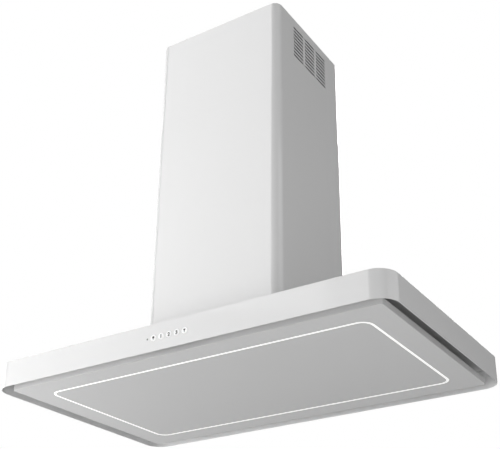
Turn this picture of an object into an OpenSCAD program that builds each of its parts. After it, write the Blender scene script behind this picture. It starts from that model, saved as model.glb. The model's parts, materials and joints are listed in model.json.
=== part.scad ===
// Island range hood: flat canopy with perimeter suction, hung on a telescopic ceiling frame.
// Millimetres. X is the width, -Y the control side, +Z up.
// The origin is the middle of the ceiling plate's top face.
// Modules count heights from the canopy's lower edge, and hung() lowers each piece from there to its place.

/* [Canopy] */
// Width of the canopy
canopy_w = 1000; // [860:10:1200]
// Depth of the canopy
canopy_d = 600; // [580:10:700]
// Height of the canopy's side
canopy_h = 61; // [58:1:80]
// Radius of the canopy's upright corners
canopy_r = 44; // [10:1:60]
// Thickness of the canopy's sheet
canopy_sheet = 1.2; // [0.8:0.1:2]
// Height of the dark inner liner above the canopy's lower edge
liner_z = 44; // [42:0.5:46]
// Thickness of the liner's sheet
liner_sheet = 1; // [0.6:0.1:1.5]
// Height of the liner's upturned edge
liner_edge_h = 8; // [4:1:11]

/* [Suction panel] */
// Distance from the canopy's outside to the panel's edge
panel_inset = 30; // [20:1:45]
// Radius of the panel's upright corners
panel_r = 6; // [3:0.5:12]
// Thickness of the panel's sheet
panel_sheet = 1.2; // [0.8:0.1:1.6]
// Height of the panel's upturned flange
flange_h = 14; // [12:0.5:18]
// Width of the lip that turns in from the flange
lip_w = 8; // [4:0.5:10]
// How far the panel sits above the canopy's lower edge
panel_recess = 0.6; // [0.2:0.1:3]

/* [Light line] */
// Distance from the panel's edge to the middle of the light line
line_inset = 60; // [40:0.5:90]
// Width of the light line
line_w = 5; // [4:0.5:9]
// Corner radius at the middle of the light line
line_r = 25; // [22:1:50]
// Height of the light channel
channel_h = 10.4; // [9:0.2:11.4]
// Wall of the light channel
channel_t = 1.2; // [0.8:0.1:1.6]
// Width of the light channel's side flanges
channel_flange = 12; // [8:1:18]
// Depth of the light guide
guide_h = 5.4; // [4:0.2:6]

/* [Panel hinge and catches] */
// Distance of each hinge from the middle
hinge_x = 300; // [200:5:380]
// Distance from the panel's rear edge to the hinge pin
hinge_back = 18; // [17:0.5:22]
// Radius of the hinge pin
hinge_pin_r = 2; // [1.5:0.25:2.5]
// Wall round the hinge pin
knuckle_t = 2; // [1.5:0.25:2.5]
// Length of the moving knuckle
knuckle_len = 31; // [20:1:50]
// Thickness of the hinge bracket's ears
ear_t = 3; // [2:0.5:4]
// Distance of each catch from the middle
catch_x = 300; // [200:5:380]
// Height of the magnet block in a catch
magnet_h = 24; // [20:0.5:25]

/* [Chimney] */
// Width of the lower chimney cover
chimney_w = 358; // [350:1:390]
// Depth of the lower chimney cover
chimney_d = 318; // [312:1:350]
// Radius of the lower cover's upright corners
chimney_r = 22; // [10:1:30]
// Thickness of both covers' sheet
chimney_sheet = 1; // [0.8:0.1:1.5]
// Clearance between the two covers
cover_gap = 0.5; // [0.3:0.1:1.5]
// Length of the lower cover
lower_len = 615; // [560:5:640]
// Length of the upper cover
upper_len = 500; // [440:5:520]
// Height from the canopy's lower edge to the ceiling
ceiling_z = 930; // [920:1:940]

/* [Vent grids] */
// Rows of slots in each grid
vent_rows = 9; // [4:1:9]
// Columns of slots in each grid
vent_cols = 3; // [1:1:3]
// Width of one slot
slot_w = 47.5; // [30:0.5:49]
// Height of one slot
slot_h = 4.8; // [3:0.1:7]
// Spacing of the rows
row_pitch = 10.5; // [9:0.5:11]
// Sheet left between two columns
column_gap = 9.5; // [3:0.5:10]
// Sheet left above the top row
vent_margin = 24.5; // [18:0.5:28]

/* [Controls] */
// Number of push buttons
button_count = 5; // [3:1:5]
// Radius of a push button
button_r = 7.3; // [5:0.1:7.6]
// Spacing of the buttons
button_pitch = 20; // [19:0.5:24]
// Height of the buttons above the canopy's lower edge
control_z = 29.5; // [28:0.5:31]
// How far a button stands out of the canopy
button_proud = 0.8; // [0.4:0.1:2]
// Travel of a button
button_travel = 1.5; // [1:0.1:1.8]
// Distance from the first button to the indicator light
indicator_gap = 16; // [14:0.5:20]
// Radius of the indicator light
indicator_r = 2; // [1.5:0.1:3]
// Depth of the switch housing
housing_d = 22; // [21:0.5:24]

/* [Telescopic frame] */
// Room at each side between the lower cover and the frame
frame_room_x = 32; // [30:0.5:34]
// Room in front and behind between the lower cover and the frame
frame_room_y = 32; // [30:0.5:34]
// Leg width of the angle uprights
angle_leg = 25; // [20:1:28]
// Wall of the uprights
angle_t = 1.5; // [1.2:0.1:2.5]
// Height of the lower uprights' top
lower_frame_top = 620; // [600:1:640]
// Height of the upper uprights' lower end
upper_frame_low = 385; // [370:1:390]
// Clearance between the two frames
frame_gap = 0.5; // [0.3:0.1:1]
// Radius of the clamp screws
clamp_r = 3; // [2.5:0.25:4]
// Height of the clamp screws
clamp_z = 575; // [570:1:580]
// Travel of the canopy down from its set height
height_down = 150; // [60:5:150]
// Travel of the canopy up from its set height
height_up = 110; // [40:5:110]
// Width of the bolt pattern in the ceiling plate
bolt_x = 220; // [200:5:230]
// Depth of the bolt pattern in the ceiling plate
bolt_y = 180; // [160:5:184]
// Radius of the holes for the ceiling bolts
bolt_r = 5; // [3:0.5:6]
// Thickness of the ceiling plate
plate_t = 2.5; // [2:0.5:4]

/* [Extractor] */
// Clearance between the extractor box and the frame's base
box_gap = 0.5; // [0.3:0.1:2]
// Height of the extractor box
box_h = 290; // [280:1:300]
// Wall of the extractor box
box_t = 1; // [0.8:0.1:1.5]
// Height of the impeller's axle above the canopy's top
axle_up = 140; // [136:1:144]
// Radius of the impeller
impeller_r = 66; // [60:0.5:68]
// Width of the impeller
impeller_w = 116; // [90:1:118]
// Number of blades
blade_count = 36; // [24:1:44]
// Radial depth of a blade
blade_depth = 14; // [8:1:16]
// Width of the blower scroll
scroll_w = 130; // [126:1:140]
// Wall of the blower scroll
scroll_t = 2; // [1.5:0.5:3]
// Radius of the motor shaft
shaft_r = 4; // [3:0.5:5]
// Radius of the motor
motor_r = 40; // [30:1:42]
// Outside radius of the outlet collar, for 150 mm duct
collar_r = 74.5; // [60:0.5:75]
// Wall of the outlet collar
collar_t = 2; // [1.5:0.5:3]
// Height of the outlet collar
collar_h = 60; // [50:1:80]
// Depth of the air outlet box behind a grid
outlet_box_h = 135; // [130:1:136]

/* [Filters] */
// Number of grease filters
filter_count = 3; // [3:1:3]
// Width of one filter
filter_w = 262; // [200:1:262]
// Depth of one filter
filter_d = 320; // [260:1:330]
// Thickness of one filter
filter_t = 9; // [8.6:0.1:9.4]
// Width of the filter's frame
filter_bar = 14; // [8:1:20]
// Travel of a filter latch
latch_travel = 6; // [4:0.5:7]

/* [Hidden] */
$fn = 64;

seat = 0.3;       // gap between pieces that sit against each other
slide_fit = 0.05; // radial clearance of a shaft in its hole
weld_gap = 0.1;   // gap at a seam that is welded on the real hood
eps = 0.01;

white = [0.93, 0.93, 0.93];
zinc = [0.72, 0.73, 0.74];
dark_grey = [0.22, 0.22, 0.23];

// canopy
inner_w = canopy_w - 2 * canopy_sheet;
inner_d = canopy_d - 2 * canopy_sheet;
inner_r = canopy_r - canopy_sheet;
canopy_under = canopy_h - canopy_sheet;

// panel and light line
panel_w = canopy_w - 2 * panel_inset;
panel_d = canopy_d - 2 * panel_inset;
panel_top = panel_recess + panel_sheet;
flange_top = panel_recess + flange_h;
line_len_x = panel_w - 2 * line_inset;
line_len_y = panel_d - 2 * line_inset;
line_fit = 0.15;
window_off = line_w / 2 + line_fit;
channel_wall = line_w / 2 + seat;
channel_out = channel_wall + channel_t;
channel_top = panel_top + channel_h;

// hinge
hinge_y = panel_d / 2 - hinge_back;
hinge_z = flange_top - knuckle_t / 2;
knuckle_r = hinge_pin_r + knuckle_t;
ear_gap = 0.5;
ear_in = knuckle_len / 2 + ear_gap;
ear_out = ear_in + ear_t;
ear_r = knuckle_r + 1;
leaf_t = 1.5;
leaf_front = 8;
leaf_back = 12;
bracket_half = 12;
notch_half = ear_out + 3;
catch_y = -panel_d / 2 + 27;
catch_low = liner_z - magnet_h;
catch_foot_half = 26;
magnet_half_w = 16;
magnet_half_d = 9;
striker_half_w = 12;
striker_half_d = 8;

// chimney covers
upper_w = chimney_w - 2 * (chimney_sheet + cover_gap);
upper_d = chimney_d - 2 * (chimney_sheet + cover_gap);
upper_r = chimney_r - chimney_sheet - cover_gap;
upper_in_w = upper_w - 2 * chimney_sheet;
upper_in_d = upper_d - 2 * chimney_sheet;
upper_in_r = upper_r - chimney_sheet;
vent_w = vent_cols * slot_w + (vent_cols - 1) * column_gap;
vent_top = ceiling_z - vent_margin;
vent_low = vent_top - (vent_rows - 1) * row_pitch - slot_h;
cover_screw_x = 60;
cover_screw_r = 2;
cover_screw_z = ceiling_z - 12;
hanger_len = 200;
hanger_h = 25;

// frames
frame_w = chimney_w - 2 * frame_room_x;
frame_d = chimney_d - 2 * frame_room_y;
base_t = 1.5;
base_rim = 13;
base_screw_x = 90;
base_screw_y = 80;
upper_frame_w = frame_w + 2 * (frame_gap + angle_t);
upper_frame_d = frame_d + 2 * (frame_gap + angle_t);
clamp_slot_low = clamp_z - height_down - clamp_r - 2;
clamp_slot_high = clamp_z + height_up + clamp_r + 2;
strap_h = 20;
strap_gap = 6;
upper_rim = 4;
plate_low = ceiling_z - plate_t;
duct_hole_r = 80;
base_screw_r = 2.5;

// extractor
box_w = frame_w - 2 * (angle_t + box_gap);
box_d = frame_d - 2 * (angle_t + box_gap);
box_top = canopy_h + box_h;
inlet_rim = 10;
scroll_start = impeller_r * 1.09;
scroll_growth = 23;
scroll_end = scroll_start + scroll_growth;
tongue_angle = 285;
throat_in = scroll_start * cos(tongue_angle);
throat_out = scroll_end;
axle_x = -(throat_in + throat_out) / 2;
axle_z = canopy_h + axle_up;
inlet_r = impeller_r - 10;
collar_in = collar_r - collar_t;
collar_rim = 13;
collar_flange_r = collar_r + collar_rim;
collar_flange_t = 2.5;
flap_axis_z = box_top + 22;
flap_axis_x = 4;
flap_pin_r = 1.5;
flap_knuckle_r = 3;
flap_t = 1.5;
ledge_w = 4;
flap_r = collar_in - 1;
motor_len = scroll_w / 2 - 8;
bracket_t = 3;

// electrics on the extractor box
cover_h = 3;
cover_rim = 2;
control_room = 5;
control_edge = 4;
control_in = collar_flange_r + control_room;
control_out = box_w / 2 - control_edge;
control_half = 95;
control_h = 40;
driver_room = 8;
driver_edge = 5;
driver_in = collar_flange_r + driver_room;
driver_out = box_w / 2 - driver_edge;
driver_half = 70;
driver_h = 28;
gland_x = (control_in + control_out) / 2;
gland_up = 18;
gland_r = 6;

// air outlet box behind the vent grids
outlet_x = 120;
outlet_t = 1.5;
port_w = vent_w + 10;
port_h = vent_top - vent_low + 10;
port_z = (vent_top + vent_low) / 2;
outlet_low = ceiling_z - 10 - outlet_box_h;
outlet_d = port_w + 14;
outlet_collar_h = 30;

// controls
front_y = -canopy_d / 2;
front_in = front_y + canopy_sheet;
button_x0 = -(button_count - 1) / 2 * button_pitch;
indicator_x = button_x0 - indicator_gap;
hole_gap = 0.2;
housing_t = 1.5;
housing_left = indicator_x - 12;
housing_right = -button_x0 + 14;
housing_h = 23;
collar_button_r = button_r + 1.3;
board_t = 1.6;
board_y = front_in + housing_d - 4;
tact_h = 4;
stem_r = 1.7;
stem_in = 1.8;
stem_room = 0.5;
tact_bore = stem_in + button_travel + stem_room;

// filters
filter_gap = 4;
filter_pitch = filter_w + filter_gap;
filter_top = liner_z - seat;
filter_low = filter_top - filter_t;
rail_t = 1.5;
rail_lip = 13;
rail_len = filter_count * filter_pitch + 6;
latch_w = 46;
latch_plate_d = 22;
latch_t = 4;
bolt_w = 14;
bolt_t = 2.5;
pocket_wall = 4;
latch_block_w = 64;
latch_block_d = 48;
pocket_d = latch_plate_d + latch_travel + 2 * seat;

// ---------- shared shapes ----------

// Rectangle with round corners, true arcs
module round_rect(w, d, r) {
  square([w - 2 * r, d], center = true);
  square([w, d - 2 * r], center = true);
  for (sx = [-1, 1], sy = [-1, 1])
    translate([sx * (w / 2 - r), sy * (d / 2 - r)]) circle(r);
}

// Upright tube with round corners and an even wall
module round_tube(w, d, r, t, h) {
  linear_extrude(h)
    difference() {
      round_rect(w, d, r);
      round_rect(w - 2 * t, d - 2 * t, r - t);
    }
}

// Flat ring that follows the light line, between two offsets from its middle
module line_ring(from, to, z, h) {
  translate([0, 0, z])
    linear_extrude(h)
      difference() {
        round_rect(line_len_x + 2 * to, line_len_y + 2 * to, line_r + to);
        round_rect(line_len_x + 2 * from, line_len_y + 2 * from, line_r + from);
      }
}

// Block given by its lowest and highest corners
module block(low, high) {
  translate(low) cube(high - low);
}

// Four of a thing, mirrored into each quarter
module quarters() {
  for (sx = [0, 1], sy = [0, 1])
    mirror([sx, 0, 0]) mirror([0, sy, 0]) children();
}

// Two of a thing, left and right
module pair() {
  for (sx = [0, 1])
    mirror([sx, 0, 0]) children();
}

// Pan-head screw along -Z: the head's underside is at z = 0 and the shank hangs below
module pan_screw(r, len, head_r, head_h) {
  translate([0, 0, -len]) cylinder(h = len + eps, r = r);
  rotate_extrude()
    polygon([[0, 0], [head_r, 0], [head_r, head_h * 0.45], [head_r * 0.8, head_h], [0, head_h]]);
}

// Lowers a piece so that the ceiling is at z = 0
module hung() {
  translate([0, 0, -ceiling_z]) children();
}

// ---------- ceiling side ----------

module ceiling_plate() {
  plate_w = upper_in_w - 2 * seat;
  plate_d = upper_in_d - 2 * seat;
  color(zinc)
    difference() {
      union() {
        translate([0, 0, plate_low])
          linear_extrude(plate_t) round_rect(plate_w, plate_d, upper_in_r - seat);
        for (sy = [-1, 1])
          translate([-hanger_len / 2, sy * (plate_d / 2 - plate_t / 2) - plate_t / 2, plate_low - hanger_h])
            cube([hanger_len, plate_t, hanger_h + eps]);
      }
      translate([0, 0, plate_low - 1]) cylinder(h = plate_t + 2, r = duct_hole_r);
      quarters() translate([bolt_x / 2, bolt_y / 2, plate_low - 1]) cylinder(h = plate_t + 2, r = bolt_r);
      pair()
        translate([cover_screw_x, plate_d / 2 + 1, cover_screw_z])
          rotate([90, 0, 0]) cylinder(h = plate_t + 2, r = cover_screw_r + slide_fit);
    }
}

module angle_upright(w, d, low, high) {
  translate([w / 2, d / 2, low]) {
    translate([-angle_leg, -angle_t, 0]) cube([angle_leg, angle_t, high - low]);
    translate([-angle_t, -angle_leg, 0]) cube([angle_t, angle_leg, high - low]);
  }
}

// Rectangular band of strip round the uprights
module strap(w, d, z) {
  translate([0, 0, z])
    linear_extrude(strap_h)
      difference() {
        square([w, d], center = true);
        square([w - 2 * angle_t, d - 2 * angle_t], center = true);
      }
}

// Long slot with round ends through a leg that faces +Y
module clamp_slot_y(x, y) {
  half = clamp_r + 0.5;
  for (z = [clamp_slot_low, clamp_slot_high])
    translate([x, y - 5, z]) rotate([-90, 0, 0]) cylinder(h = 10, r = half);
  block([x - half, y - 5, clamp_slot_low], [x + half, y + 5, clamp_slot_high]);
}

module clamp_slot_x(x, y) {
  half = clamp_r + 0.5;
  for (z = [clamp_slot_low, clamp_slot_high])
    translate([x - 5, y, z]) rotate([0, 90, 0]) cylinder(h = 10, r = half);
  block([x - 5, y - half, clamp_slot_low], [x + 5, y + half, clamp_slot_high]);
}

module upper_frame() {
  flange_w = upper_frame_w + 2 * upper_rim;
  flange_d = upper_frame_d + 2 * upper_rim;
  band_w = upper_frame_w + 2 * angle_t;
  band_d = upper_frame_d + 2 * angle_t;
  leg_x = upper_frame_w / 2 - angle_leg / 2;
  leg_y = upper_frame_d / 2 - angle_leg / 2;
  color(zinc)
    difference() {
      union() {
        quarters() angle_upright(upper_frame_w, upper_frame_d, upper_frame_low, plate_low);
        strap(band_w, band_d, upper_frame_low);
        strap(band_w, band_d, clamp_slot_high + clamp_r + strap_gap);
        translate([0, 0, plate_low - base_t])
          linear_extrude(base_t)
            difference() {
              square([flange_w, flange_d], center = true);
              square([frame_w - 2 * base_rim, frame_d - 2 * base_rim], center = true);
            }
      }
      quarters() {
        clamp_slot_y(leg_x, upper_frame_d / 2);
        clamp_slot_x(upper_frame_w / 2, leg_y);
      }
    }
}

// One vent grid, as cutters through the wall on the +X side
module vent_cutters() {
  for (c = [0 : vent_cols - 1], r = [0 : vent_rows - 1])
    translate([
      upper_w / 2 - chimney_sheet - 1,
      -vent_w / 2 + c * (slot_w + column_gap),
      vent_low + r * row_pitch
    ])
      cube([chimney_sheet + 2, slot_w, slot_h]);
}

module upper_chimney() {
  color(white)
    difference() {
      translate([0, 0, ceiling_z - upper_len])
        round_tube(upper_w, upper_d, upper_r, chimney_sheet, upper_len);
      pair() vent_cutters();
      pair()
        translate([cover_screw_x, upper_d / 2 + 1, cover_screw_z])
          rotate([90, 0, 0]) cylinder(h = chimney_sheet + 2, r = cover_screw_r + slide_fit);
    }
}

module cover_screws() {
  color(zinc)
    pair()
      translate([cover_screw_x, upper_d / 2, cover_screw_z])
        rotate([-90, 0, 0]) pan_screw(cover_screw_r, 8, 3.6, 2);
}

module air_outlet_box() {
  tray_w = upper_frame_w - 2 * angle_t - 2 * seat;
  tray_d = upper_frame_d - 2 * angle_t - 2 * seat;
  color(dark_grey)
    difference() {
      union() {
        translate([-tray_w / 2, -tray_d / 2, outlet_low]) cube([tray_w, tray_d, outlet_t]);
        translate([-outlet_x, -outlet_d / 2, outlet_low]) cube([2 * outlet_x, outlet_d, outlet_box_h]);
        translate([0, 0, outlet_low - outlet_collar_h]) cylinder(h = outlet_collar_h + 1, r = collar_r);
      }
      translate([-outlet_x + outlet_t, -outlet_d / 2 + outlet_t, outlet_low + outlet_t])
        cube([2 * (outlet_x - outlet_t), outlet_d - 2 * outlet_t, outlet_box_h - 2 * outlet_t]);
      translate([0, 0, outlet_low - outlet_collar_h - 1]) cylinder(h = outlet_collar_h + 5, r = collar_in);
      translate([-outlet_x - 1, -port_w / 2, port_z - port_h / 2]) cube([2 * outlet_x + 2, port_w, port_h]);
    }
}

module outlet_sleeves() {
  sleeve_w = port_w - 2 * seat;
  sleeve_h = port_h - 2 * seat;
  sleeve_in = outlet_x - 12;
  sleeve_out = upper_in_w / 2 - seat;
  color(dark_grey)
    pair()
      difference() {
        block(
          [sleeve_in, -sleeve_w / 2, port_z - sleeve_h / 2],
          [sleeve_out, sleeve_w / 2, port_z + sleeve_h / 2]
        );
        block(
          [sleeve_in - 1, -sleeve_w / 2 + outlet_t, port_z - sleeve_h / 2 + outlet_t],
          [sleeve_out + 1, sleeve_w / 2 - outlet_t, port_z + sleeve_h / 2 - outlet_t]
        );
      }
}

// ---------- canopy ----------

// Side band of the canopy, bent round the corners and welded
module canopy_band() {
  color(white)
    difference() {
      round_tube(canopy_w, canopy_d, canopy_r, canopy_sheet, canopy_h);
      for (i = [0 : button_count - 1])
        translate([button_x0 + i * button_pitch, front_y - 1, control_z])
          rotate([-90, 0, 0]) cylinder(h = canopy_sheet + 2, r = button_r + hole_gap);
      translate([indicator_x, front_y - 1, control_z])
        rotate([-90, 0, 0]) cylinder(h = canopy_sheet + 2, r = indicator_r + slide_fit);
    }
}

// Top sheet, welded in flush with the band's upper edge
module canopy_top() {
  color(white)
    difference() {
      translate([0, 0, canopy_under])
        linear_extrude(canopy_sheet)
          round_rect(inner_w - 2 * weld_gap, inner_d - 2 * weld_gap, inner_r - weld_gap);
      // inlet of the extractor box
      block(
        [-box_w / 2 + inlet_rim, -box_d / 2 + inlet_rim, canopy_under - 1],
        [box_w / 2 - inlet_rim, box_d / 2 - inlet_rim, canopy_h + 1]
      );
      base_screw_places()
        translate([0, 0, canopy_under - 1]) cylinder(h = canopy_sheet + 2, r = base_screw_r + slide_fit);
    }
}

module suction_liner() {
  w = inner_w - 2 * seat;
  d = inner_d - 2 * seat;
  r = inner_r - seat;
  mouth_w = filter_w - 2 * filter_bar + 6;
  mouth_d = filter_d - 2 * filter_bar + 6;
  color(dark_grey)
    difference() {
      translate([0, 0, liner_z]) linear_extrude(liner_sheet + liner_edge_h) round_rect(w, d, r);
      translate([0, 0, liner_z + liner_sheet])
        linear_extrude(liner_edge_h + 1)
          round_rect(w - 2 * liner_sheet, d - 2 * liner_sheet, r - liner_sheet);
      for (i = [0 : filter_count - 1])
        translate([filter_x(i) - mouth_w / 2, -mouth_d / 2, liner_z - 1])
          cube([mouth_w, mouth_d, liner_sheet + 2]);
    }
}

function filter_x(i) = (i - (filter_count - 1) / 2) * filter_pitch;

module filter_rails() {
  wall_low = filter_low - 1.5;
  back_y = filter_d / 2 + seat;
  color(zinc) {
    // rear rail: hooked lip under the filters' rear edge
    block([-rail_len / 2, back_y, wall_low], [rail_len / 2, back_y + rail_t, liner_z]);
    block(
      [-rail_len / 2, back_y + rail_t - rail_lip, wall_low],
      [rail_len / 2, back_y + rail_t, filter_low - seat]
    );
    // front rail: slots for the latch bolts
    difference() {
      block([-rail_len / 2, -back_y - rail_t, wall_low], [rail_len / 2, -back_y, liner_z]);
      for (i = [0 : filter_count - 1])
        translate([filter_x(i) - bolt_w / 2 - seat, -back_y - rail_t - 1, bolt_low() - seat])
          cube([bolt_w + 2 * seat, rail_t + 2, bolt_t + 2 * seat]);
    }
  }
}

function bolt_low() = filter_low + 1.8;

// One grease filter: channel frame, mesh pack, latch block at the front
module grease_filter(i) {
  pack_low = filter_low + 2.5;
  pack_high = filter_top - 2.5;
  front = -filter_d / 2;
  color(zinc)
    translate([filter_x(i), 0, 0])
      difference() {
        union() {
          difference() {
            block([-filter_w / 2, front, filter_low], [filter_w / 2, -front, filter_top]);
            block(
              [-filter_w / 2 + filter_bar, front + filter_bar, filter_low - 1],
              [filter_w / 2 - filter_bar, -front - filter_bar, pack_low]
            );
            block(
              [-filter_w / 2 + filter_bar, front + filter_bar, pack_high],
              [filter_w / 2 - filter_bar, -front - filter_bar, filter_top + 1]
            );
          }
          block(
            [-latch_block_w / 2, front, filter_low],
            [latch_block_w / 2, front + latch_block_d, filter_top]
          );
          // cross bars that hold the mesh pack
          for (y = [-filter_d / 6, filter_d / 6])
            block([-filter_w / 2, y - 2, filter_low + 0.8], [filter_w / 2, y + 2, pack_low]);
        }
        // pocket for the latch handle
        block(
          [-latch_w / 2 - seat, front + pocket_wall, filter_low - 1],
          [latch_w / 2 + seat, front + pocket_wall + pocket_d, filter_low + 5.5]
        );
        // guide for the bolt in front and the tail behind
        block(
          [-bolt_w / 2 - seat, front - 1, bolt_low() - seat],
          [bolt_w / 2 + seat, front + latch_block_d - pocket_wall, bolt_low() + bolt_t + seat]
        );
      }
}

module grease_filter_left() grease_filter(0);
module grease_filter_centre() grease_filter(1);
module grease_filter_right() grease_filter(2);

// Sliding latch: handle plate with a finger hollow, bolt in front, tail behind
module filter_latch(i) {
  front = -filter_d / 2;
  plate_front = front + pocket_wall + seat;
  plate_back = plate_front + latch_plate_d;
  handle_low = filter_low + 0.4;
  color(dark_grey)
    translate([filter_x(i), 0, 0])
      difference() {
        union() {
          block([-latch_w / 2, plate_front, handle_low], [latch_w / 2, plate_back, handle_low + latch_t]);
          block(
            [-bolt_w / 2, front - 2 * seat - rail_t - 2, bolt_low()],
            [bolt_w / 2, plate_back + 11, bolt_low() + bolt_t]
          );
        }
        block(
          [-latch_w / 2 + 5, plate_front + 7, handle_low - 1],
          [latch_w / 2 - 5, plate_back - 3, handle_low + 1.2]
        );
      }
}

module latch_left() filter_latch(0);
module latch_centre() filter_latch(1);
module latch_right() filter_latch(2);

// ---------- lower frame and extractor ----------

module base_screw_places() {
  quarters() {
    translate([(frame_w + base_rim) / 2, base_screw_y, 0]) children();
    translate([base_screw_x, (frame_d + base_rim) / 2, 0]) children();
  }
}

module lower_frame() {
  leg_x = upper_frame_w / 2 - angle_leg / 2;
  leg_y = upper_frame_d / 2 - angle_leg / 2;
  band_w = frame_w - 2 * angle_t;
  band_d = frame_d - 2 * angle_t;
  color(zinc)
    difference() {
      union() {
        translate([0, 0, canopy_h])
          linear_extrude(base_t)
            difference() {
              square([frame_w + 2 * base_rim, frame_d + 2 * base_rim], center = true);
              square([frame_w - 2 * angle_t, frame_d - 2 * angle_t], center = true);
            }
        quarters() angle_upright(frame_w, frame_d, canopy_h, lower_frame_top);
        strap(band_w, band_d, lower_frame_top - strap_h);
      }
      base_screw_places()
        translate([0, 0, canopy_h - 1]) cylinder(h = base_t + 2, r = base_screw_r + slide_fit);
      quarters() {
        translate([leg_x, frame_d / 2 - 5, clamp_z])
          rotate([-90, 0, 0]) cylinder(h = 10, r = clamp_r + slide_fit);
        translate([frame_w / 2 - 5, leg_y, clamp_z])
          rotate([0, 90, 0]) cylinder(h = 10, r = clamp_r + slide_fit);
      }
    }
}

module clamp_screws() {
  leg_x = upper_frame_w / 2 - angle_leg / 2;
  leg_y = upper_frame_d / 2 - angle_leg / 2;
  color(dark_grey)
    quarters() {
      translate([leg_x, upper_frame_d / 2 + seat, clamp_z])
        rotate([-90, 0, 0]) pan_screw(clamp_r, 9, 5.5, 3.5);
      translate([upper_frame_w / 2 + seat, leg_y, clamp_z])
        rotate([0, 90, 0]) pan_screw(clamp_r, 9, 5.5, 3.5);
    }
}

module base_screws() {
  color(zinc)
    base_screw_places()
      translate([0, 0, canopy_h + base_t]) pan_screw(base_screw_r, 7, 4.5, 2.5);
}

module extractor_box() {
  color(zinc)
    difference() {
      translate([-box_w / 2, -box_d / 2, canopy_h]) cube([box_w, box_d, box_h]);
      translate([-box_w / 2 + box_t, -box_d / 2 + box_t, canopy_h - 1])
        cube([box_w - 2 * box_t, box_d - 2 * box_t, box_h - box_t + 1]);
      translate([0, 0, box_top - box_t - 1]) cylinder(h = box_t + 2, r = collar_in);
    }
}

// Radius of the scroll at an angle that runs clockwise from the throat's outer wall
function scroll_radius(a) = scroll_end - scroll_growth * a / tongue_angle;

// Outline of the scroll: spiral from the throat to the tongue, grown outward by a wall
function scroll_outline(wall, top) = concat(
  [for (a = [0 : 7.5 : tongue_angle]) (scroll_radius(a) + wall) * [cos(a), -sin(a)]],
  [[throat_in - wall, top], [throat_out + wall, top]]
);

module blower_scroll() {
  top = box_top - box_t - axle_z;
  color(dark_grey)
    translate([axle_x, 0, axle_z])
      rotate([90, 0, 0])
        difference() {
          translate([0, 0, -scroll_w / 2]) linear_extrude(scroll_w) polygon(scroll_outline(scroll_t, top));
          translate([0, 0, -scroll_w / 2 + scroll_t])
            linear_extrude(scroll_w - 2 * scroll_t) polygon(scroll_outline(0, top + 1));
          translate([0, 0, -scroll_w]) cylinder(h = 2 * scroll_w, r = inlet_r);
        }
}

// Curved blade as a thin crescent band from the inner to the outer radius
function blade_line(side) = [
  for (s = [0 : 4])
    let (
      r = impeller_r - blade_depth + s * blade_depth / 4,
      lean = -9 + 2.2 * s + 0.65 * s * s
    )
      (r - 0.4) * [cos(lean), sin(lean)] + side * [-sin(lean), cos(lean)] * 0.6
];

module blade() {
  polygon(concat(blade_line(-1), [for (i = [4 : -1 : 0]) blade_line(1)[i]]));
}

module blower_impeller() {
  hub_r = shaft_r + 8;
  ring_t = 2;
  color(dark_grey)
    translate([axle_x, 0, axle_z])
      rotate([90, 0, 0]) {
        translate([0, 0, -impeller_w / 2])
          linear_extrude(impeller_w)
            for (i = [0 : blade_count - 1])
              rotate(i * 360 / blade_count) blade();
        for (z = [-impeller_w / 2, impeller_w / 2 - ring_t])
          translate([0, 0, z])
            difference() {
              cylinder(h = ring_t, r = impeller_r);
              translate([0, 0, -1]) cylinder(h = ring_t + 2, r = impeller_r - 5);
            }
        difference() {
          union() {
            translate([0, 0, -1]) cylinder(h = 2, r = impeller_r - 2);
            translate([0, 0, -20]) cylinder(h = 20, r = hub_r);
          }
          translate([0, 0, -22]) cylinder(h = 30, r = shaft_r + 0.02);
        }
      }
}

module motor_shaft() {
  color(zinc)
    translate([axle_x, 0, axle_z])
      rotate([90, 0, 0])
        translate([0, 0, -24]) cylinder(h = 24 + motor_len, r = shaft_r);
}

// Motor: ribbed can on the control side of the impeller's middle disc
module motor() {
  back = scroll_w / 2;
  front = back - motor_len;
  color([0.35, 0.36, 0.38])
    translate([axle_x, 0, axle_z])
      rotate([90, 0, 0])
        difference() {
          union() {
            rotate_extrude()
              polygon([
                [0, front], [motor_r * 0.45, front], [motor_r * 0.5, front + 3], [motor_r - 5, front + 3],
                [motor_r, front + 8], [motor_r, back - 4], [motor_r - 3, back], [0, back]
              ]);
            for (z = [front + 14, front + 24, front + 34])
              translate([0, 0, z]) cylinder(h = 3, r = motor_r + 1.5);
          }
          translate([0, 0, front - 1]) cylinder(h = motor_len - 1, r = shaft_r + slide_fit);
        }
}

module motor_bracket() {
  back = scroll_w / 2;
  arm_end = inlet_r + 12;
  color(zinc)
    translate([axle_x, 0, axle_z])
      rotate([90, 0, 0])
        translate([0, 0, back]) {
          difference() {
            cylinder(h = bracket_t, r = motor_r - 8);
            translate([0, 0, -1]) cylinder(h = bracket_t + 2, r = motor_r - 22);
          }
          for (a = [90, 210, 330])
            rotate(a)
              block([motor_r - 14, -7, 0], [arm_end, 7, bracket_t]);
        }
}

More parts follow.
